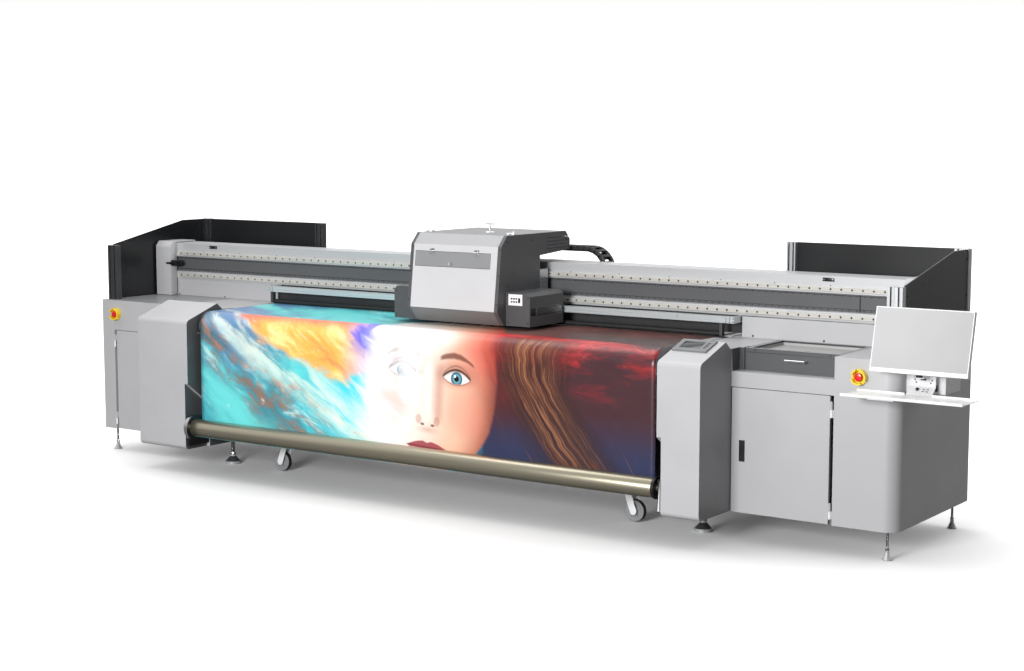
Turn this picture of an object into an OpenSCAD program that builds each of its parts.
// Wide-format roll-to-roll UV printer.
// Millimetres. X runs along the machine, left to right as the operator sees it.
// Y runs from the operator to the back. Z is up, with the floor at 0.
// Each module works in shop coordinates: x = 0 on the outer face of the left cabinet,
// y = 0 on the cabinets' front. placed() then moves the origin to the floor under the
// middle of the whole machine.

/* [Overall] */
// Width of the printed roll
media_w = 3180; // [2400:20:3180]
// Depth of the cabinets
depth = 960; // [940:10:1000]
// Height of the flat deck above the floor
deck_z = 987; // [980:1:1000]
// Height of the cabinets' lower edge
cabinet_z = 145; // [140:1:150]
// Thickness of the sheet-metal casings
sheet = 3; // [2:0.5:3]

/* [Cabinets] */
// Width of the left cabinet, up to its tower
left_cab_w = 671; // [671:1:760]
// Width of the left tower
left_tower_w = 417; // [410:1:430]
// Width of the right tower
right_tower_w = 245; // [240:1:260]
// Width of the right cabinet, beyond its tower
right_cab_w = 899; // [890:1:960]
// Radius of the right cabinet's front corner
corner_r = 75; // [40:1:90]
// How far the towers stand in front of the cabinets
tower_reach = 330; // [320:1:340]
// Width of a cabinet door
door_w = 540; // [520:1:540]
// Height of a cabinet door
door_h = 642; // [600:1:642]

/* [Shields] */
// Height of the shields above the deck at the front
shield_front_h = 351; // [300:1:360]
// Height of the shields above the deck at the back
shield_back_h = 487; // [480:1:520]

/* [Beam] */
// Front face of the beam
beam_y = 510; // [510:1:520]
// Depth of the beam
beam_d = 190; // [180:1:190]
// Underside of the beam
beam_z = 1100; // [1100:1:1110]
// Height of the beam
beam_h = 235; // [235:1:240]
// Width of a guide rail
rail_w = 23; // [20:1:25]

/* [Carriage] */
// Width of the carriage's casing
carriage_w = 625; // [600:5:640]
// Width of one lamp box
lamp_w = 159; // [140:1:165]
// Height of the carriage's top above the floor
carriage_top = 1507; // [1500:1:1520]
// Height of the carriage's lower edge
carriage_low = 1010; // [1008:1:1012]

/* [Rolls] */
// Radius of the take-up shaft
takeup_r = 52; // [50:1:52]
// Radius of the full roll at the back
roll_r = 110; // [80:1:110]
// Radius of the feed roller
feed_r = 45; // [40:1:45]

/* [Console] */
// Width of the monitor
monitor_w = 486; // [470:1:500]
// Height of the monitor
monitor_h = 313; // [300:1:320]
// Width of the keyboard tray
tray_w = 606; // [580:1:610]

/* [Hidden] */

$fn = 64;
gap = 0.3;              // clearance between bodies that pass each other
fit = 0.05;             // radial running clearance of a pin in its bore
eps = 1;                // overrun of a cut past the face that it opens
arc_n = 10;             // segments in a quarter bend

// Positions along X
bed_w = media_w + 88;
tower_l = [left_cab_w, left_cab_w + left_tower_w];
tower_r = [tower_l[1] + bed_w, tower_l[1] + bed_w + right_tower_w];
total_w = tower_r[1] + right_cab_w;
media_x = [tower_l[1] + 32, tower_l[1] + 32 + media_w];
mid_x = total_w / 2;

// Frame tubes
tube = 80;
tube_wall = 4;
long_y = [40, depth - 120];
long_z = [200, 780];
frame_end = 20;
post_x = [frame_end, tower_l[1] - 86, tower_r[0] + 4, total_w - frame_end - tube];

// Media path
media_t = 1;
platen_z = deck_z + 1;
platen_low = long_z[1] + tube;
nose_r = 94;
nose_y = -244;
rear_nose_r = 60;
rear_nose_y = depth - 10.3;
feed_y = 426;
feed_slot = 3;
feed_journal_r = 15;
platen_skin = 8;
shaft_y = -298;
shaft_z = 290;
journal_r = 20;
wrap_angle = 105;
unwind_y = 840;
unwind_z = 420;
web_gap = gap;

// Carriage
carriage_x = [mid_x + 112.5 - carriage_w / 2, mid_x + 112.5 + carriage_w / 2];
carriage_mid = mid_x + 112.5;
lamp_y = [43, 380];
lamp_top = 1195;
frame_edge = 22;
chassis_y = [462, 474];
block_apart = 400;
block_len = 84;
block_h = 44;
rail_d = 20;
rail_z = [beam_z + 14, beam_z + 157];
chain_y = [715, 815];
chain_h = 35;
chain_top = 1419;
chain_r = 147;
chain_mid_x = carriage_x[1] + 94;

// Doors. The right one is drawn; the left one is its mirror image.
mirror_sum = total_w - 229;
door_hinge_x = tower_r[1] + 544;
door_x = [door_hinge_x - door_w, door_hinge_x];
door_z = [149, 149 + door_h];
door_t = 20;
knuckle = [door_hinge_x + 10, -5];
knuckle_r = 6.5;
hinge_pin_r = 3;
hinge_z = [177, 684];
hinge_h = 79;
latch_x = [door_x[0] + 43, door_x[0] + 74];
latch_z = [413, 523];
latch_pin = [latch_x[1] - 5, 9];
latch_pin_r = 2;

// Emergency stops
estop_r = 39;
estop_z = 899;
estop_x = [131, total_w - 200];
estop_stem_r = 8;

// Maintenance bay in the right cabinet
bay_z = 870;
bay_x = [tower_r[1] + 30, tower_r[1] + 564];
bay_front = 80;
bay_back = 490;
drawer_x = [bay_x[0] + 5, bay_x[1] - 5];
drawer_z = [bay_z + sheet + gap, deck_z];
rim_w = 22;

// Casters
wheel_r = 60;
wheel_axle_z = wheel_r + 3;
wheel_w = 36;
trail = 40;
caster_y = [86, depth - 86];
caster_x = [tower_l[1] + 387, tower_r[0] - 364];
fork_top = 188;
kingpin_r = 8;
kingpin_head_r = 13;

// Console on the right-hand side
neck = [total_w + 103, -5];
tilt_axis_y = -22;
tilt_axis_z = 1100;
monitor_tilt = 13.5;
monitor_t = 26;
monitor_low = [-110, 948];
tray_y = [-205, -4];
tray_z = 829;

// Middle of the whole machine, seen from above
reach_x = neck[0] + 290;
reach_y = [shaft_y - 79, depth];

module placed() {
    translate([-reach_x / 2, -(reach_y[0] + reach_y[1]) / 2, 0]) children();
}

module block(x, y, z) {
    translate([x[0], y[0], z[0]]) cube([x[1] - x[0], y[1] - y[0], z[1] - z[0]]);
}

// A rod or ring along X, Y or Z, from one coordinate to the next
module rod_x(x, y, z, r, bore = 0) {
    translate([x[0], y, z]) rotate([0, 90, 0]) pipe(r, x[1] - x[0], bore);
}
module rod_y(x, y, z, r, bore = 0) {
    translate([x, y[1], z]) rotate([90, 0, 0]) pipe(r, y[1] - y[0], bore);
}
module rod_z(x, y, z, r, bore = 0) {
    translate([x, y, z[0]]) pipe(r, z[1] - z[0], bore);
}
module pipe(r, h, bore) {
    difference() {
        cylinder(r = r, h = h);
        if (bore > 0) translate([0, 0, -eps]) cylinder(r = bore, h = h + 2 * eps);
    }
}

// Extrudes an outline drawn in (y, z) from x[0] to x[1]
module along_x(x) {
    translate([x[0], 0, 0]) rotate([90, 0, 90]) linear_extrude(x[1] - x[0]) children();
}
// Extrudes an outline drawn in (x, z) from y[0] to y[1]
module along_y(y) {
    translate([0, y[1], 0]) rotate([90, 0, 0]) linear_extrude(y[1] - y[0]) children();
}

// Mirrors the right-hand door and its fittings onto the left cabinet
module to_left() {
    translate([mirror_sum, 0, 0]) mirror([1, 0, 0]) children();
}

function arc(c, r, a0, a1, n = arc_n) =
    [for (i = [0:n]) let (a = a0 + (a1 - a0) * i / n) c + r * [cos(a), sin(a)]];

// Moves a sharp corner inwards by t, given the directions of its two inward normals
function inset(p, a, b, t) =
    let (u = [cos(a), sin(a)], v = [cos(b), sin(b)]) p + t * (u + v) / (1 + u * v);

module square_tube_x(x, y, z) {
    difference() {
        block(x, [y, y + tube], [z, z + tube]);
        block([x[0] - eps, x[1] + eps], [y + tube_wall, y + tube - tube_wall],
              [z + tube_wall, z + tube - tube_wall]);
    }
}
module square_tube_y(x, y, z) {
    difference() {
        block([x, x + tube], y, [z, z + tube]);
        block([x + tube_wall, x + tube - tube_wall], [y[0] - eps, y[1] + eps],
              [z + tube_wall, z + tube - tube_wall]);
    }
}
module square_tube_z(x, y, z) {
    difference() {
        block([x, x + tube], [y, y + tube], z);
        block([x + tube_wall, x + tube - tube_wall], [y + tube_wall, y + tube - tube_wall],
              [z[0] - eps, z[1] + eps]);
    }
}

// ---------------------------------------------------------------- frame and feet

feed_z = platen_z - gap - feed_r;
bearing_plate_t = 20;
bearing_plate_x = [post_x[1] + 38, post_x[2] + 25];
bearing_plate_y = [feed_y - 40, feed_y + 40];
beam_post_y = beam_y + 50;
caster_plate_half = 45;
caster_plate_z = fork_top + 6;
fork_disc_z = fork_top - 10;
kingpin_head_t = 4;

// The four long tubes, with the plates and kingpins of the casters
module base_frame() {
    plate = [-caster_plate_half, caster_plate_half];
    color("dimgray") {
        for (y = long_y, z = long_z) square_tube_x([frame_end, total_w - frame_end], y, z);
        for (side = [0, 1], y = caster_y) translate([caster_pivot(side), y, 0]) {
            block(plate, plate, [caster_plate_z, long_z[0]]);
            rod_z(0, 0, [fork_disc_z, caster_plate_z], kingpin_r);
            rod_z(0, 0, [fork_disc_z - kingpin_head_t, fork_disc_z], kingpin_head_r);
        }
    }
}

// The four upright frames that stand between the long tubes
module cross_frames() {
    stand_z = [long_z[1] + tube, deck_z - sheet];
    color("dimgray") {
        for (x = post_x) {
            for (y = long_y) square_tube_z(x, y, [long_z[0] + tube, long_z[1]]);
            for (z = long_z) square_tube_y(x, [long_y[0] + tube, long_y[1]], z);
        }
        // Short posts that carry the beam's end blocks through the deck
        for (x = [post_x[0], post_x[3]]) square_tube_z(x, beam_post_y, stand_z);
        // Bearing plates of the feed roller
        for (x = bearing_plate_x) difference() {
            block([x, x + bearing_plate_t], bearing_plate_y, stand_z);
            rod_x([x - eps, x + bearing_plate_t + eps], feed_y, feed_z, feed_journal_r + fit);
        }
    }
}

// Small feet stand under the cabinets, large ones under the towers
small_foot_x = [60, total_w - 60];
small_foot_y = [50, depth - 55];
large_foot_x = [tower_l[1] - 46, tower_r[0] + 39];
large_foot_y = [100, depth - 80];

module screw_foot(stem_r, pad_r, cone_h, rim_h) {
    rod_z(0, 0, [0, rim_h], pad_r);
    translate([0, 0, rim_h]) cylinder(r1 = pad_r * 0.92, r2 = stem_r * 1.5, h = cone_h);
    rod_z(0, 0, [rim_h + cone_h, long_z[0]], stem_r);
    rod_z(0, 0, [rim_h + cone_h, rim_h + cone_h + 10], stem_r * 1.6);
}

module levelling_feet() {
    color("silver") {
        for (x = small_foot_x, y = small_foot_y)
            translate([x, y, 0]) screw_foot(stem_r = 6, pad_r = 26, cone_h = 32, rim_h = 5);
        for (x = large_foot_x, y = large_foot_y)
            translate([x, y, 0]) screw_foot(stem_r = 12, pad_r = 50, cone_h = 30, rim_h = 18);
    }
}

// The left casters trail to the left and the right ones to the right
function caster_pivot(side) = caster_x[side] + (side == 0 ? trail : -trail);

fork_disc_r = 30;
fork_arm_half = 16;
fork_arm_y = [22, 27];
axle_r = 6;
axle_half = 30;

module caster_fork(side, row) {
    toward = side == 0 ? -1 : 1;
    translate([caster_pivot(side), caster_y[row], 0]) {
        difference() {
            union() {
                rod_z(0, 0, [fork_disc_z, fork_top], fork_disc_r);
                for (y = [-fork_arm_y[1], fork_arm_y[0]])
                    along_y([y, y + fork_arm_y[1] - fork_arm_y[0]]) {
                        polygon([[-fork_arm_half, fork_top - 4], [fork_arm_half, fork_top - 4],
                                 [toward * trail + fork_arm_half, wheel_axle_z],
                                 [toward * trail - fork_arm_half, wheel_axle_z]]);
                        translate([toward * trail, wheel_axle_z]) circle(r = fork_arm_half);
                    }
                rod_y(toward * trail, [-axle_half, axle_half], wheel_axle_z, axle_r);
            }
            rod_z(0, 0, [fork_disc_z - eps, fork_top + eps], kingpin_r + fit);
            rod_z(0, 0, [fork_disc_z - kingpin_head_t, fork_disc_z], kingpin_head_r + gap);
        }
    }
}

module caster_wheel(side, row) {
    toward = side == 0 ? -1 : 1;
    translate([caster_pivot(side) + toward * trail, caster_y[row], 0])
        color([0.16, 0.16, 0.17])
            rod_y(0, [-wheel_w / 2, wheel_w / 2], wheel_axle_z, wheel_r, axle_r + fit);
}

// ---------------------------------------------------------------- casings

// Clear passages for the long frame tubes through a casing wall
module tube_passages(x) {
    for (y = long_y, z = long_z)
        block(x, [y - eps, y + tube + eps], [z - eps, z + tube + eps]);
}

estop_hole_r = 14;
opening_top = door_z[1] + 3;
flange_y = [sheet, door_t + 2];
louvre_n = 8;
louvre_pitch = 22;
louvre_h = 10;
louvre_z = 600;
louvre_x = [180, 520];

module estop_hole(x) {
    rod_y(x, [-eps, sheet + eps], estop_z, estop_hole_r);
}

// Louvred air outlet in a cabinet's back
module louvres(x) {
    for (i = [0:louvre_n - 1])
        block(x, [depth - sheet - eps, depth + eps],
              [louvre_z + i * louvre_pitch, louvre_z + i * louvre_pitch + louvre_h]);
}

module left_cabinet() {
    left_door_x = [mirror_sum - door_x[1], mirror_sum - door_x[0]];
    jamb = left_door_x[0] - 20;
    color([0.72, 0.72, 0.73]) difference() {
        block([0, left_cab_w], [0, depth], [cabinet_z, deck_z]);
        block([sheet, left_cab_w + eps], [sheet, depth - sheet], [cabinet_z - eps, deck_z - sheet]);
        block([jamb, left_cab_w + eps], [-eps, sheet + eps], [cabinet_z - eps, opening_top]);
        estop_hole(estop_x[0]);
        louvres(louvre_x);
    }
    // Return flange that the door's hinges are fixed to
    color([0.72, 0.72, 0.73])
        block([jamb - sheet, jamb], flange_y, [cabinet_z, opening_top]);
}

module right_cabinet_outline(t) {
    x = [tower_r[1] + (t > 0 ? -eps : 0), total_w - t];
    polygon(concat([[x[0], t]],
        arc([total_w - corner_r, corner_r], corner_r - t, -90, 0),
        [[x[1], depth - t], [x[0], depth - t]]));
}

module right_cabinet() {
    side = [tower_r[1], tower_r[1] + sheet];
    color([0.74, 0.74, 0.75]) difference() {
        union() {
            difference() {
                translate([0, 0, cabinet_z]) linear_extrude(deck_z - cabinet_z)
                    right_cabinet_outline(0);
                translate([0, 0, cabinet_z - eps])
                    linear_extrude(deck_z - cabinet_z - sheet + eps) right_cabinet_outline(sheet);
            }
            block([side[0], bay_x[1] + sheet], [0, bay_back + sheet], [bay_z, deck_z]);
            // Return flange that the door's hinges are fixed to
            block([bay_x[1], bay_x[1] + sheet], [0, flange_y[1]], [cabinet_z, bay_z]);
        }
        // Maintenance bay, and the hollow beside it
        block([side[1], bay_x[1]], [-eps, bay_front], [bay_z + sheet, deck_z + eps]);
        block(bay_x, [bay_front - eps, bay_back], [bay_z + sheet, deck_z + eps]);
        block([side[0] - eps, bay_x[0] - sheet], [bay_front + sheet, bay_back + sheet + eps],
              [bay_z - eps, deck_z - sheet]);
        // Door opening
        block([side[0] - eps, bay_x[1]], [-eps, sheet + eps], [cabinet_z - eps, opening_top]);
        estop_hole(estop_x[1]);
        louvres([total_w - louvre_x[1], total_w - louvre_x[0]]);
    }
}

tower_low = 151;
tower_front = -tower_reach;
bend_z = deck_z - 49;
ridge = [-66, deck_z + 39];
valley = [-18, deck_z];
slope = atan2(ridge[1] - bend_z, ridge[0] - tower_front);
fall = atan2(valley[1] - ridge[1], valley[0] - ridge[0]);
bend_r = 30;
foot_r = 28;

function tower_outline(t) = concat(
    arc([tower_front + foot_r, tower_low + foot_r], foot_r - t, 270, 180),
    arc([tower_front + bend_r, bend_z + tan(slope) * bend_r - bend_r / cos(slope)],
        bend_r - t, 180, 90 + slope),
    [inset(ridge, slope - 90, fall - 90, t), inset(valley, fall - 90, -90, t),
     [depth - t, deck_z - t], [depth - t, tower_low + t]]);

pocket_w = 26;
pocket_back = -150;
pocket_knee_z = [558, 420];
tower_lip = 20;
journal_hole_r = 22;

function pocket_outline(grow) = [
    [tower_front - 2 + grow, pocket_knee_z[0] + grow],
    [pocket_back + grow, pocket_knee_z[1] + grow],
    [pocket_back + grow, tower_low - 2], [tower_front - 2 + grow, tower_low - 2]];

// x is the tower's span; bed is 1 when the media is on its right, -1 when on its left
module tower(x, bed) {
    inner = bed > 0 ? [x[1] - sheet, x[1]] : [x[0], x[0] + sheet];
    outer = bed > 0 ? [x[0], x[0] + sheet] : [x[1] - sheet, x[1]];
    pocket = bed > 0 ? [x[1] - pocket_w, x[1] + eps] : [x[0] - eps, x[0] + pocket_w];
    liner = bed > 0 ? [x[1] - pocket_w - sheet, x[1]] : [x[0], x[0] + pocket_w + sheet];
    difference() {
        union() {
            difference() {
                along_x(x) polygon(tower_outline(0));
                along_x([x[0] + sheet, x[1] - sheet]) polygon(tower_outline(sheet));
            }
            intersection() {
                along_x(liner) polygon(pocket_outline(sheet));
                along_x(x) polygon(tower_outline(0));
            }
        }
        along_x(pocket) polygon(pocket_outline(0));
        // The tower is open towards its cabinet, and underneath behind its front
        block([outer[0] - eps, outer[1] + eps], [tower_lip, depth - sheet],
              [tower_low - eps, deck_z - sheet]);
        block([x[0] + sheet, x[1] - sheet], [tower_lip, depth - sheet],
              [tower_low - eps, tower_low + sheet + eps]);
        tube_passages([inner[0] - eps, inner[1] + eps]);
        rod_x([inner[0] - eps, inner[1] + eps], feed_y, feed_z, journal_hole_r);
    }
}

module left_tower() {
    color([0.71, 0.71, 0.72]) tower(tower_l, 1);
}
module right_tower() {
    color([0.8, 0.8, 0.81]) tower(tower_r, -1);
}

// ---------------------------------------------------------------- doors and stops

module hinge_half(upper) {
    for (z = hinge_z) {
        part = upper ? [z + hinge_h / 2 + gap, z + hinge_h] : [z, z + hinge_h / 2];
        rod_z(knuckle[0], knuckle[1], part, knuckle_r, upper ? hinge_pin_r + fit : 0);
        side = upper ? [door_hinge_x, knuckle[0] - 4] : [knuckle[0] + 4, bay_x[1]];
        block(side, [-3, upper ? 3 : 2], part);
        if (!upper) rod_z(knuckle[0], knuckle[1], [z + hinge_h / 2, z + hinge_h + 2], hinge_pin_r);
    }
}

module door() {
    difference() {
        union() {
            difference() {
                block(door_x, [0, door_t], door_z);
                block([door_x[0] + sheet, door_x[1] - sheet], [sheet, door_t + eps],
                      [door_z[0] + sheet, door_z[1] - sheet]);
            }
            block([latch_x[0] - 4, latch_x[1] + 6], [0, door_t], [latch_z[0] - 4, latch_z[1] + 4]);
            difference() {
                hinge_half(true);
                // Room for the pins
                for (z = hinge_z) rod_z(knuckle[0], knuckle[1], [z, z + hinge_h + eps],
                                        hinge_pin_r + fit);
            }
        }
        block([latch_x[0], latch_x[1] + 2], [-eps, door_t - sheet], latch_z);
        rod_z(latch_pin[0], latch_pin[1], [latch_z[0] - 3, latch_z[1] + 3], latch_pin_r + fit);
    }
}

module latch() {
    block([latch_x[0] + 2, latch_x[1] - 2], [2, 6], [latch_z[0] + 2, latch_z[1] - 2]);
    block([latch_pin[0] - 3, latch_pin[0] + 3], [6, latch_pin[1]], [latch_z[0] + 2, latch_z[1] - 2]);
    rod_z(latch_pin[0], latch_pin[1], [latch_z[0] - 2.5, latch_z[1] + 2.5], latch_pin_r);
}

module right_door() {
    color([0.76, 0.76, 0.77]) door();
}
module left_door() {
    color([0.7, 0.7, 0.71]) to_left() door();
}
module right_latch() {
    color([0.09, 0.09, 0.09]) latch();
}
module left_latch() {
    color([0.09, 0.09, 0.09]) to_left() latch();
}
module hinge_pins() {
    color([0.85, 0.85, 0.85]) {
        hinge_half(false);
        to_left() hinge_half(false);
    }
}

guard_floor = -8;
guard_y = [-34, guard_floor];
guard_bore = 31;
guard_notch_w = 24;

// Yellow guard rings, each with three notches for the fingers
module estop_guards() {
    color([0.95, 0.82, 0.2]) for (x = estop_x) difference() {
        union() {
            rod_y(x, [guard_floor, 0], estop_z, estop_r);
            rod_y(x, guard_y, estop_z, estop_r, guard_bore);
        }
        rod_y(x, [guard_floor - eps, eps], estop_z, estop_stem_r + fit);
        for (a = [45, 180, 270]) translate([x, 0, estop_z]) rotate([0, a, 0])
            block([20, estop_r + 6], [guard_y[0] - eps, guard_floor - 6],
                  [-guard_notch_w / 2, guard_notch_w / 2]);
    }
}

module estop_button(x) {
    head_y = [-28, -17];
    rod_y(x, [head_y[1], 10], estop_z, estop_stem_r);
    rod_y(x, head_y, estop_z, 21);
    rod_y(x, [head_y[0] - 4, head_y[0]], estop_z, 18);
}
module left_estop_button() {
    color([0.85, 0.1, 0.1]) estop_button(estop_x[0]);
}
module right_estop_button() {
    color([0.85, 0.1, 0.1]) estop_button(estop_x[1]);
}

// ---------------------------------------------------------------- inside the cabinets

// Mounting plate with three rows of four units: supplies, drives and controllers
module electronics_panel() {
    back_y = long_y[0] + tube;
    plate_t = 6;
    unit_h = [150, 110, 150];
    unit_w = 90;
    first = [160, 300];
    pitch = [112, 162];
    color([0.6, 0.62, 0.64]) {
        block([first[0] - 20, 620], [back_y, back_y + plate_t], [long_z[0] + 10, long_z[1] + 70]);
        for (row = [0:2], col = [0:3])
            translate([first[0] + col * pitch[0], 0, first[1] + row * pitch[1]])
                block([0, unit_w], [70, back_y], [0, unit_h[row]]);
    }
}

tank = [66, 190, 230];
tank_pitch = [76, 210];
tank_at = [tower_r[1] + 70, 140];
tank_cap = [33, 40];
tank_cap_r = 18;
tank_cap_h = 32;
shelf_t = 4;

module ink_tanks() {
    shelf_z = long_z[0] + tube;
    color([0.85, 0.85, 0.82]) {
        block([tank_at[0] - 20, tank_at[0] + 470], [60, 600], [shelf_z, shelf_z + shelf_t]);
        for (i = [0:5], j = [0:1])
            translate([tank_at[0] + i * tank_pitch[0], tank_at[1] + j * tank_pitch[1],
                       shelf_z + shelf_t]) {
                cube(tank);
                rod_z(tank_cap[0], tank_cap[1], [tank[2], tank[2] + tank_cap_h], tank_cap_r);
            }
    }
}

// ---------------------------------------------------------------- maintenance drawer

module maintenance_drawer() {
    x = drawer_x;
    z = drawer_z;
    y = [bay_front, bay_back - 6];
    color([0.62, 0.62, 0.63]) difference() {
        block(x, y, z);
        block([x[0] + sheet, x[1] - sheet], [y[0] + sheet, y[1] - sheet],
              [z[0] + sheet, z[1] - sheet]);
        block([x[0] + rim_w, x[1] - rim_w], [y[0] + rim_w, y[1] - rim_w],
              [z[1] - sheet - eps, z[1] + eps]);
    }
}

handle_x = [drawer_x[0] + 236, drawer_x[0] + 345];
handle_z = 940;

module drawer_handle() {
    color("silver") {
        rod_x(handle_x, bay_front - 34, handle_z, 5);
        for (x = [handle_x[0] + 5, handle_x[1] - 5])
            rod_y(x, [bay_front - 34, bay_front], handle_z, 4);
    }
}

wash_z = [962, 978];
wash_post_r = 8;
wash_post_in = 20;
drain_r = 12;

// Shallow tray, sunk under the drawer's rim, that catches ink while the heads are cleaned
module wash_tray() {
    x = [drawer_x[0] + rim_w + 3, drawer_x[1] - rim_w - 3];
    y = [bay_front + rim_w + 3, bay_back - 6 - rim_w - 3];
    mid = [(x[0] + x[1]) / 2, (y[0] + y[1]) / 2];
    floor_z = drawer_z[0] + sheet;
    color([0.7, 0.7, 0.7]) {
        difference() {
            block(x, y, wash_z);
            block([x[0] + sheet, x[1] - sheet], [y[0] + sheet, y[1] - sheet],
                  [wash_z[0] + sheet, wash_z[1] + eps]);
            rod_z(mid[0], mid[1], [wash_z[0] - eps, wash_z[1]], drain_r - sheet);
        }
        // Drain spout, and the four posts that the tray stands on
        rod_z(mid[0], mid[1], [wash_z[0] - 30, wash_z[0]], drain_r, drain_r - sheet);
        for (px = [x[0] + wash_post_in, x[1] - wash_post_in],
             py = [y[0] + wash_post_in, y[1] - wash_post_in])
            rod_z(px, py, [floor_z, wash_z[0]], wash_post_r);
    }
}

// ---------------------------------------------------------------- bed and media path

function front_table(t) = concat(
    [[nose_y + t, platen_low + t]],
    arc([nose_y + nose_r, platen_z - nose_r], nose_r - t, 180, 90),
    [[feed_y - feed_r - feed_slot - t, platen_z - t],
     [feed_y - feed_r - feed_slot - t, platen_low + t]]);

function rear_table(t) = concat(
    [[feed_y + feed_r + feed_slot + t, platen_low + t],
     [feed_y + feed_r + feed_slot + t, platen_z - t]],
    arc([rear_nose_y - rear_nose_r, platen_z - rear_nose_r], rear_nose_r - t, 90, 0),
    [[rear_nose_y - t, platen_low + t]]);

module platen() {
    x = [tower_l[1] + 4, tower_r[0] - 4];
    color([0.75, 0.76, 0.77]) difference() {
        along_x(x) {
            polygon(front_table(0));
            polygon(rear_table(0));
        }
        along_x([x[0] - eps, x[1] + eps]) {
            polygon(front_table(platen_skin));
            polygon(rear_table(platen_skin));
        }
    }
}

blower_x = [mid_x - 1100, mid_x, mid_x + 1100];
blower_y = 260;
blower_z = [long_z[1] - 80, long_z[1] + 20];
blower_r = 110;
blower_neck_r = 60;
outlet_half = 30;

module vacuum_blowers() {
    color([0.3, 0.31, 0.33]) for (x = blower_x) {
        rod_z(x, blower_y, [blower_z[1], platen_low], blower_neck_r);
        rod_z(x, blower_y, blower_z, blower_r);
        block([x + 60, x + 190], [blower_y - outlet_half, blower_y + outlet_half],
              [blower_z[0] + 10, blower_z[0] + 10 + 2 * outlet_half]);
    }
}

module feed_roller() {
    color([0.45, 0.46, 0.48]) {
        rod_x([tower_l[1] + 7, tower_r[0] - 7], feed_y, feed_z, feed_r);
        rod_x([post_x[1] + 34, tower_l[1] + 7], feed_y, feed_z, feed_journal_r);
        rod_x([tower_r[0] - 7, post_x[2] + 50], feed_y, feed_z, feed_journal_r);
    }
}

pinch_r = 14;
pinch_journal_r = 6;
pinch_z = platen_z + web_gap + media_t + gap + pinch_r;
pinch_arm_l = [tower_l[1] + 8, tower_l[1] + 24];
pinch_arm_r = [tower_r[0] - 48, tower_r[0] - 32];

module pinch_roller() {
    color([0.2, 0.2, 0.2]) {
        rod_x([pinch_arm_l[1] + 4, pinch_arm_r[0] - 4], feed_y, pinch_z, pinch_r);
        rod_x([pinch_arm_l[0] + 2, pinch_arm_l[1] + 4], feed_y, pinch_z, pinch_journal_r);
        rod_x([pinch_arm_r[0] - 4, pinch_arm_r[1] - 2], feed_y, pinch_z, pinch_journal_r);
    }
}

bar_y = [400, 450];
bar_z = [1065, 1098];
bar_x = [pinch_arm_l[0], pinch_arm_r[1] + 60];
bar_plate_t = 16;

module media_guide_bar() {
    color([0.82, 0.86, 0.87]) {
        block(bar_x, bar_y, bar_z);
        // End plates that hang the bar from the beam
        for (x = [bar_x[0] - bar_plate_t, bar_x[1]])
            block([x, x + bar_plate_t], [bar_y[0], beam_y + 40], [bar_z[0], beam_z]);
        for (x = [pinch_arm_l, pinch_arm_r]) difference() {
            block(x, [feed_y - 15, feed_y + 15], [platen_z + 5, bar_z[0]]);
            rod_x([x[0] - eps, x[1] + eps], feed_y, pinch_z, pinch_journal_r + fit);
        }
    }
}

// Distance from the shaft's axis to the side of the media that faces the machine
wrap_r = nose_y - web_gap - shaft_y;

// Cross-section of the media: off the roll, over the rear nose, across the table,
// round the front nose and down behind the take-up shaft
function web_side(t) = concat(
    [[rear_nose_y + web_gap + t, unwind_z]],
    arc([rear_nose_y - rear_nose_r, platen_z - rear_nose_r], rear_nose_r + web_gap + t, 0, 90),
    arc([nose_y + nose_r, platen_z - nose_r], nose_r + web_gap + t, 90, 180),
    arc([shaft_y, shaft_z], wrap_r - t, 0, -wrap_angle));

function reversed(v) = [for (i = [len(v) - 1:-1:0]) v[i]];

module media_web() {
    color([0.35, 0.75, 0.8]) along_x(media_x)
        polygon(concat(web_side(0), reversed(web_side(media_t))));
}

// ---------------------------------------------------------------- rolls

collar_x = [tower_l[1] + 1, tower_l[1] + 17];
disc_x = [tower_l[1] + 18, tower_l[1] + 30];
takeup_x = [tower_l[1] + 31, tower_r[0] - 23];
right_disc_x = [tower_r[0] - 21, tower_r[0] - 6];
collar_r = 75;
disc_r = 79;
right_disc_r = 58;
tommy_hole_r = 8;
tommy_circle_r = 52;
clamp_slot_half = 1.5;
unwind_r = 37.5;

module takeup_shaft() {
    color([0.72, 0.69, 0.62]) {
        rod_x(takeup_x, shaft_y, shaft_z, takeup_r);
        rod_x([tower_l[1] - pocket_w + 4, takeup_x[0]], shaft_y, shaft_z, journal_r);
        rod_x([takeup_x[1], tower_r[0] + pocket_w - 4], shaft_y, shaft_z, journal_r);
    }
}

module takeup_collars() {
    bore = journal_r + 0.1;
    color([0.75, 0.75, 0.76]) {
        difference() {
            rod_x(collar_x, shaft_y, shaft_z, collar_r, bore);
            // Tommy-bar holes, and the slot that lets the collar clamp
            for (a = [0:60:300]) translate([0, shaft_y, shaft_z]) rotate([a, 0, 0])
                rod_x([collar_x[0] - eps, collar_x[1] + eps], tommy_circle_r, 0, tommy_hole_r);
            translate([0, shaft_y, shaft_z]) rotate([30, 0, 0])
                block([collar_x[0] - eps, collar_x[1] + eps], [0, collar_r + 5],
                      [-clamp_slot_half, clamp_slot_half]);
        }
        rod_x(disc_x, shaft_y, shaft_z, disc_r, bore);
        rod_x(right_disc_x, shaft_y, shaft_z, right_disc_r, bore);
    }
}

chuck_t = 12;
takeup_chuck_x = [tower_l[1] - 18, tower_r[0] + 6];
unwind_chuck_x = [tower_l[1], tower_r[0] - chuck_t];

module chuck_plate(x, y, z, axis_y, axis_z) {
    difference() {
        block(x, y, z);
        rod_x([x[0] - eps, x[1] + eps], axis_y, axis_z, journal_r + fit);
    }
}

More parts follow.
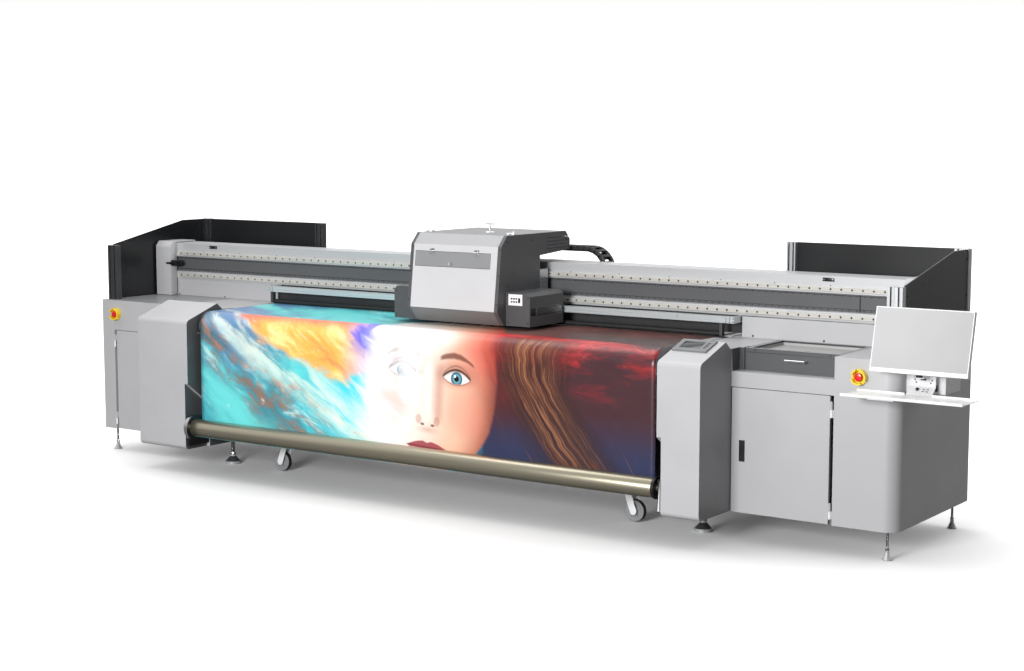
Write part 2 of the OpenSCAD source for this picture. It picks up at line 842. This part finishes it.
module shaft_chucks() {
    color([0.86, 0.86, 0.87]) {
        for (x = takeup_chuck_x)
            chuck_plate([x, x + chuck_t], [shaft_y - 27, pocket_back], [shaft_z - 115, shaft_z + 50],
                        shaft_y, shaft_z);
        for (x = unwind_chuck_x)
            chuck_plate([x, x + chuck_t], [unwind_y - 50, unwind_y + 50],
                        [unwind_z - 50, unwind_z + 100], unwind_y, unwind_z);
    }
}

module unwind_shaft() {
    color([0.7, 0.7, 0.71]) {
        rod_x([tower_l[1] + 16, tower_r[0] - 16], unwind_y, unwind_z, unwind_r);
        rod_x([tower_l[1] + 1, tower_l[1] + 16], unwind_y, unwind_z, journal_r);
        rod_x([tower_r[0] - 16, tower_r[0] - 1], unwind_y, unwind_z, journal_r);
    }
}

module media_roll() {
    color([0.9, 0.9, 0.89]) rod_x(media_x, unwind_y, unwind_z, roll_r, unwind_r + 0.2);
}

// ---------------------------------------------------------------- beam

end_block_x = [[24, 100], [total_w - 100, total_w - 24]];
channel_z = [beam_z + 48, beam_z + 146];
channel_d = 20;
beam_skin = 12;
chamber_w = 60;
slot_w = 10;
slot_d = 8;
slot_at = 40;

module gantry_beam() {
    x = [end_block_x[0][1], end_block_x[1][0]];
    color([0.78, 0.79, 0.8]) along_x(x) difference() {
        polygon([[beam_y, beam_z], [beam_y + beam_d, beam_z], [beam_y + beam_d, beam_z + beam_h],
                 [beam_y, beam_z + beam_h]]);
        // Channel for the magnets, and the two hollow chambers
        translate([beam_y - eps, channel_z[0]])
            square([channel_d + eps, channel_z[1] - channel_z[0]]);
        translate([beam_y + channel_d + beam_skin, beam_z + beam_skin])
            square([chamber_w, beam_h - 2 * beam_skin]);
        translate([beam_y + channel_d + 2 * beam_skin + chamber_w, beam_z + beam_skin])
            square([beam_d - channel_d - 3 * beam_skin - chamber_w, beam_h - 2 * beam_skin]);
        // Slots in the top and bottom faces
        for (z = [beam_z - eps, beam_z + beam_h - slot_d])
            translate([beam_y + slot_at, z]) square([slot_w, slot_d + eps]);
    }
}

// The blocks under the beam's ends, and the splash panels that close the gap beside them
module beam_end_blocks() {
    top = beam_z + beam_h + 2;
    front = beam_y + 15;
    left_panel_y = beam_y + 10;
    right_panel_y = beam_y - 26;
    color([0.77, 0.77, 0.78]) {
        for (x = end_block_x) along_x(x)
            polygon([[front, deck_z], [front, top - 37], [beam_y + 52, top],
                     [beam_y + beam_d - 15, top], [beam_y + beam_d - 15, deck_z]]);
        block([end_block_x[0][1], tower_l[1] - 12], [left_panel_y, left_panel_y + sheet],
              [deck_z, beam_z]);
        block([tower_r[0] + 50, end_block_x[1][0] - 10], [right_panel_y, right_panel_y + sheet],
              [deck_z, beam_z - 2]);
    }
}

module linear_rails() {
    color([0.86, 0.86, 0.85]) for (z = rail_z)
        block([end_block_x[0][1] + 100, end_block_x[1][0] - 30], [beam_y - rail_d, beam_y],
              [z, z + rail_w]);
}

module magnet_track() {
    color([0.32, 0.32, 0.33])
        block([end_block_x[0][1] + 40, end_block_x[1][0] - 40],
              [beam_y + channel_d - 8, beam_y + channel_d], [channel_z[0] + 3, channel_z[1] - 3]);
}

bumper_l = 70;

module end_bumpers() {
    bumper_z = (channel_z[0] + channel_z[1]) / 2;
    color([0.08, 0.08, 0.08]) for (start = [end_block_x[0][1], end_block_x[1][0] - bumper_l]) {
        x = [start, start + bumper_l];
        block(x, [beam_y + 2, beam_y + channel_d - 8], [bumper_z - 26, bumper_z + 26]);
        rod_x(x, beam_y - 6, bumper_z, 15);
        block(x, [beam_y - 6, beam_y + 2], [bumper_z - 12, bumper_z + 12]);
    }
}

cable_tray_y = [beam_y + beam_d, chain_y[1] + 15];
cable_tray_z = [1085, 1120];

module cable_tray() {
    x = [end_block_x[0][1] + 50, end_block_x[1][0] - 50];
    z = [cable_tray_z[0] + 3, cable_tray_z[1]];
    color([0.5, 0.5, 0.52]) {
        block(x, cable_tray_y, [cable_tray_z[0], z[0]]);
        block(x, [cable_tray_y[1] - sheet, cable_tray_y[1]], z);
    }
    // The part of the cable chain that lies still in the tray
    color([0.13, 0.13, 0.13]) block([x[0] + 150, mid_x], chain_y, z);
}

// The moving loop of the cable chain, with the bracket that ties it to the carriage
module cable_chain() {
    centre_z = chain_top - chain_r;
    color([0.16, 0.16, 0.16]) {
        block([carriage_mid - 100, chain_mid_x], chain_y, [chain_top - chain_h, chain_top]);
        translate([chain_mid_x, chain_y[0], centre_z]) rotate([-90, -90, 0])
            rotate_extrude(angle = 180) translate([chain_r - chain_h, 0])
                square([chain_h, chain_y[1] - chain_y[0]]);
        block([chain_mid_x - 120, chain_mid_x], chain_y,
              [centre_z - chain_r, centre_z - chain_r + chain_h]);
        block([carriage_mid - 60, carriage_mid + 60], [hood_back_y, chain_y[0]],
              [chain_top - 14, chain_top]);
    }
}

// ---------------------------------------------------------------- carriage

hood_low_y = 380;
hood_back_y = 690;
hood_back_z = [1400, carriage_top - 47];
hood_step_z = 1380;
front_knee = [-42, carriage_low + 80];
front_top = [0, carriage_top - 60];

function hood_outline(t) = [
    inset([23, carriage_low], 51, 90, 0) + [t, 0],
    front_knee + [t, 0],
    front_top + [t, 0],
    [57 + t / 2, carriage_top - t],
    [hood_back_y - 43, carriage_top - t],
    [hood_back_y - t, hood_back_z[1]],
    [hood_back_y - t, hood_back_z[0] + t],
    [hood_low_y - t, hood_step_z + t],
    [hood_low_y - t, carriage_low]];

// The opening in the hood that the front panel closes
function front_outline() = [
    [-60, front_knee[1]], [-60, front_top[1]], [30, carriage_top + 10], [57, carriage_top + 10],
    [57, carriage_top - 12], [front_top[0] + 12, front_top[1] - 4],
    [front_knee[0] + 14, front_knee[1]]];

module front_skin(clear) {
    x = [carriage_x[0] + frame_edge + clear, carriage_x[1] - frame_edge - clear];
    intersection() {
        along_x(x) polygon(front_outline());
        difference() {
            along_x(carriage_x) polygon(hood_outline(0));
            along_x([carriage_x[0] - eps, carriage_x[1] + eps]) polygon(hood_outline(sheet));
        }
    }
}

module carriage_cover() {
    inner_x = [carriage_x[0] + sheet, carriage_x[1] - sheet];
    color([0.3, 0.3, 0.3]) difference() {
        along_x(carriage_x) polygon(hood_outline(0));
        along_x(inner_x) polygon(hood_outline(sheet));
        // Open underneath and at the back below the step
        block(inner_x, [26, hood_low_y + eps], [carriage_low - eps, carriage_low + sheet]);
        block(inner_x, [hood_low_y - sheet - eps, hood_low_y + eps],
              [carriage_low - eps, hood_step_z - 10]);
        along_x([carriage_x[0] + frame_edge, carriage_x[1] - frame_edge]) polygon(front_outline());
        // Hole for the lifting screw, and the air slots in the sides
        rod_z(lift_at[0], lift_at[1], [carriage_top - 10, carriage_top + eps], 2 * lift_r);
        for (row = [0:3], col = [0:8])
            translate([0, 450 + col * 27, hood_back_z[0] + 12 + row * 20])
                block([carriage_x[0] - eps, carriage_x[1] + eps], [0, 18], [0, 5]);
    }
}

flap_x = [carriage_x[0] + 36, carriage_x[1] - 67];
flap_z = [1322, 1408];
flap_hinge_y = front_y(flap_z[1]) - 6;
knob_z = 1342;

function front_y(z) = front_knee[0] + (front_top[0] - front_knee[0])
    * (z - front_knee[1]) / (front_top[1] - front_knee[1]);

module carriage_front() {
    color([0.88, 0.88, 0.89]) difference() {
        front_skin(gap);
        block(flap_x, [-80, 60], flap_z);
    }
}

// Flap with its two hinges and its knob
module carriage_flap() {
    clear = 2;
    x = [flap_x[0] + clear, flap_x[1] - clear];
    z = [flap_z[0] + clear, flap_z[1] - clear];
    color([0.55, 0.55, 0.56]) {
        along_x(x) polygon([[front_y(z[0]), z[0]], [front_y(z[1]), z[1]],
                            [front_y(z[1]) + sheet, z[1]], [front_y(z[0]) + sheet, z[0]]]);
        for (hx = [x[0] + 98, x[1] - 112]) {
            rod_x([hx, hx + 30], flap_hinge_y, flap_z[1], 4);
            block([hx, hx + 30], [flap_hinge_y, front_y(z[1] - 14) + 0.5], [z[1] - 14, z[1]]);
        }
        rod_y((x[0] + x[1]) / 2 - 10, [front_y(knob_z) - 16, front_y(knob_z) + 1], knob_z, 8);
    }
}

heads = [4, 2];
head_w = 50;
head_d = 90;
cheek = 10;
base_y = [60, 376];
base_z = [1040, 1050];
chassis_top = 1300;
lift_at = [carriage_mid + 35, 283];
lift_r = 6;
cross_bar_z = [1270, 1296];

module carriage_chassis() {
    x = [carriage_x[0] + 8, carriage_x[1] - 8];
    color([0.66, 0.67, 0.69]) {
        for (cx = [x[0], x[1] - cheek]) along_x([cx, cx + cheek])
            polygon([[base_y[0], base_z[0]], [base_y[1], base_z[0]], [base_y[1], beam_z + 10],
                     [chassis_y[1], beam_z + 10], [chassis_y[1], chassis_top],
                     [lift_at[1] + 17, chassis_top], [base_y[0], base_z[1] + 60]]);
        block([x[0] + cheek, x[1] - cheek], chassis_y, [beam_z + 10, chassis_top]);
        difference() {
            block([x[0] + cheek, x[1] - cheek], base_y, base_z);
            for (i = [0:heads[0] - 1], j = [0:heads[1] - 1]) head_place(i, j)
                block([-2, head_w + 2], [-2, head_d + 2], [base_z[0] - eps, base_z[1] + eps]);
        }
        // Cross-bar and lifting screw with its T-shaped grip
        block([x[0] + cheek, x[1] - cheek], [lift_at[1] - 13, lift_at[1] + 13], cross_bar_z);
        rod_z(lift_at[0], lift_at[1], [cross_bar_z[1], carriage_top + 46], lift_r);
        rod_x([lift_at[0] - 27, lift_at[0] + 27], lift_at[1], carriage_top + 48, 5);
    }
}

module head_place(i, j) {
    translate([carriage_mid - 180 + i * 104 + j * 26, 96 + j * 140, 0]) children();
}

module print_heads() {
    color([0.15, 0.15, 0.16]) for (i = [0:heads[0] - 1], j = [0:heads[1] - 1]) head_place(i, j) {
        block([0, head_w], [0, head_d], [platen_z + 5, base_z[0]]);
        block([0, head_w], [0, head_d], [base_z[1], base_z[1] + 60]);
        block([6, head_w - 6], [6, head_d - 6], base_z);
        block([-6, head_w + 6], [-6, head_d + 6], [base_z[1], base_z[1] + 4]);
    }
}

module bearing_blocks() {
    color([0.5, 0.52, 0.54]) for (z = rail_z, side = [-1, 1]) {
        x = carriage_mid + side * block_apart / 2;
        mid_z = z + rail_w / 2;
        difference() {
            block([x - block_len / 2, x + block_len / 2], [chassis_y[1], beam_y - 6],
                  [mid_z - block_h / 2, mid_z + block_h / 2]);
            block([x - block_len / 2 - eps, x + block_len / 2 + eps],
                  [beam_y - rail_d - gap, beam_y], [z - gap, z + rail_w + gap]);
        }
    }
}

// One lamp box, drawn for the right-hand side of the carriage
module lamp_box() {
    x = [carriage_x[1], carriage_x[1] + lamp_w];
    chamfer = 19;
    wall = 6;
    recess_z = [1067, 1103];
    difference() {
        along_y(lamp_y) polygon([[x[0], carriage_low], [x[1], carriage_low], [x[1], lamp_top - chamfer],
                                 [x[1] - chamfer, lamp_top], [x[0], lamp_top]]);
        block([x[0] + wall, x[1] - wall - 10], [lamp_y[0] + wall, lamp_y[1] - wall],
              [carriage_low - eps, lamp_top - chamfer - 7]);
        block([x[1] - 9, x[1] + eps], [lamp_y[0] + 20, lamp_y[1] + eps], recess_z);
    }
}

module uv_lamps() {
    color([0.28, 0.28, 0.29]) {
        lamp_box();
        translate([2 * carriage_mid, 0, 0]) mirror([1, 0, 0]) lamp_box();
    }
}

// ---------------------------------------------------------------- shields and controls

post_w = 80;
front_post_y = [45, 85];
corner_y = [depth - 45, depth - 5];
back_panel_l = 1034;
back_panel_r = total_w - 1050;
back_post_w = [65, 51];
panel_x = [18, total_w - 23];
panel_t = 5;
panel_y = depth - 12;
side_knee_y = 720;
groove_w = 8;
groove_d = 6;
corner_x = [12, total_w - 12 - post_w];

module shield_panels() {
    front_z = deck_z + shield_front_h;
    back_z = deck_z + shield_back_h;
    side = [[front_post_y[1], deck_z], [front_post_y[1], front_z + 4], [side_knee_y, back_z],
            [corner_y[0], back_z], [corner_y[0], deck_z]];
    color([0.15, 0.15, 0.16]) {
        for (x = panel_x) along_x([x, x + panel_t]) polygon(side);
        for (x = [[corner_x[0] + post_w, back_panel_l],
                  [back_panel_r + back_post_w[1], corner_x[1]]])
            block(x, [panel_y, panel_y + panel_t], [deck_z, back_z]);
    }
}

module shield_post(x, y, top) {
    difference() {
        block(x, y, [deck_z, top]);
        // Grooves of the extruded profile
        for (px = [x[0] + (x[1] - x[0]) / 4, x[1] - (x[1] - x[0]) / 4])
            block([px - groove_w / 2, px + groove_w / 2], [y[0] - eps, y[0] + groove_d],
                  [deck_z - eps, top + eps]);
    }
}

module shield_posts() {
    front_z = deck_z + shield_front_h;
    back_z = deck_z + shield_back_h;
    color([0.2, 0.2, 0.21]) {
        for (x = corner_x) {
            shield_post([x, x + post_w], front_post_y, front_z);
            shield_post([x, x + post_w], corner_y, back_z);
        }
        shield_post([back_panel_l, back_panel_l + back_post_w[0]], corner_y, back_z);
        shield_post([back_panel_r, back_panel_r + back_post_w[1]], corner_y, back_z);
    }
}

module touch_panel() {
    size = [196, 130];
    thick = 9;
    screen_at = [26, 28];
    screen = [120, 78];
    recess = 2;
    base = [tower_r[0] + 9, tower_front + 130];
    color([0.5, 0.5, 0.5])
        translate([base[0], base[1], bend_z + tan(slope) * (base[1] - tower_front)])
            rotate([slope, 0, 0]) difference() {
                cube([size[0], size[1], thick]);
                translate([screen_at[0], screen_at[1], thick - recess])
                    cube([screen[0], screen[1], recess + eps]);
            }
}

// ---------------------------------------------------------------- operator's console

arm_x = [total_w, total_w + 200];
arm_y = [87, 280];
arm_z = [832, 932];
arm_wall = 4;
bracket_x = [neck[0] - 68, neck[0] + 62];
bracket_y = [50, 54];
seat_z = [917, 921];

// Hollow arm on the cabinet's side, with the bent bracket in front that holds the tray
module console_arm() {
    w = arm_wall;
    color([0.9, 0.9, 0.9]) {
        difference() {
            block(arm_x, arm_y, arm_z);
            block([arm_x[0] + w, arm_x[1] - w], [arm_y[0] + w, arm_y[1] - w],
                  [arm_z[0] + w, arm_z[1] - w]);
            // Window for the leads
            block([arm_x[0] + 40, arm_x[1] - 40], [arm_y[0] - 7, arm_y[0] + 2 * w],
                  [arm_z[0] + 13, arm_z[0] + 43]);
        }
        block([bracket_x[0] + 20, bracket_x[1] - 20], [bracket_y[1], arm_y[0]], [880, 915]);
        along_x(bracket_x)
            polygon([[bracket_y[0], seat_z[1]], [bracket_y[1], seat_z[1]], [bracket_y[1], 868],
                     [2, tray_z + 3], [-3, tray_z + 3], [bracket_y[0], 869]]);
        block([neck[0] - 30, neck[0] + 30], [-30, bracket_y[0]], seat_z);
    }
}

neck_base_z = [seat_z[1], seat_z[1] + 19];
tilt_pin_r = 5;
lug_z = [tilt_axis_z - 12, tilt_axis_z + 12];

module monitor_neck() {
    color([0.12, 0.12, 0.12]) {
        rod_z(neck[0], neck[1], neck_base_z, 16);
        rod_z(neck[0], neck[1], [neck_base_z[1], tilt_axis_z + 20], 10);
        block([neck[0] - 12, neck[0] + 12], [tilt_axis_y - 8, neck[1]], lug_z);
        rod_x([neck[0] - 30, neck[0] + 30], tilt_axis_y, tilt_axis_z, tilt_pin_r);
    }
}

bezel_w = 3;
chin_h = 18;
screen_recess = 1;

module monitor() {
    x0 = neck[0] + 33 - monitor_w / 2;
    color([0.88, 0.88, 0.88]) {
        translate([x0, monitor_low[0], monitor_low[1]]) rotate([-monitor_tilt, 0, 0]) difference() {
            cube([monitor_w, monitor_t, monitor_h]);
            // Shallow recess of the screen above its lower bezel
            translate([bezel_w, -eps, chin_h])
                cube([monitor_w - 2 * bezel_w, eps + screen_recess, monitor_h - chin_h - bezel_w]);
        }
        for (s = [-1, 1]) difference() {
            translate([neck[0] + s * 22 - 6, 0, 0])
                block([0, 12], [tilt_axis_y - 26, tilt_axis_y + 9], lug_z);
            rod_x([neck[0] - 40, neck[0] + 40], tilt_axis_y, tilt_axis_z, tilt_pin_r + fit);
        }
    }
}

tray_t = 3;

// Tray with raised front and back lips; the back one leaves room for the bracket
module keyboard_tray() {
    x = [neck[0] - 316, neck[0] - 316 + tray_w];
    top = tray_z + tray_t;
    color([0.95, 0.95, 0.95]) {
        block(x, tray_y, [tray_z, top]);
        block(x, [tray_y[0], tray_y[0] + tray_t], [top, top + 11]);
        for (lip = [[x[0], bracket_x[0] - 4], [bracket_x[1] + 4, x[1]]])
            block(lip, [tray_y[1] - tray_t, tray_y[1]], [top, top + 9]);
        block([x[0] + 130, x[0] + 262], [tray_y[0] + 20, tray_y[1] - 10], [tray_z - 8, tray_z]);
    }
}

placed() {
    base_frame();
    cross_frames();
    levelling_feet();
    for (i = [0:3]) {
        color([0.9, 0.9, 0.9]) caster_fork(i % 2, floor(i / 2));
        caster_wheel(i % 2, floor(i / 2));
    }
    left_cabinet();
    right_cabinet();
    left_tower();
    right_tower();
    left_door();
    right_door();
    hinge_pins();
    left_latch();
    right_latch();
    estop_guards();
    left_estop_button();
    right_estop_button();
    electronics_panel();
    ink_tanks();
    maintenance_drawer();
    drawer_handle();
    wash_tray();
    platen();
    vacuum_blowers();
    feed_roller();
    pinch_roller();
    media_guide_bar();
    gantry_beam();
    beam_end_blocks();
    linear_rails();
    magnet_track();
    end_bumpers();
    cable_tray();
    cable_chain();
    carriage_chassis();
    bearing_blocks();
    carriage_cover();
    carriage_front();
    carriage_flap();
    print_heads();
    uv_lamps();
    takeup_shaft();
    takeup_collars();
    shaft_chucks();
    unwind_shaft();
    media_roll();
    media_web();
    shield_panels();
    shield_posts();
    touch_panel();
    console_arm();
    monitor_neck();
    monitor();
    keyboard_tray();
}
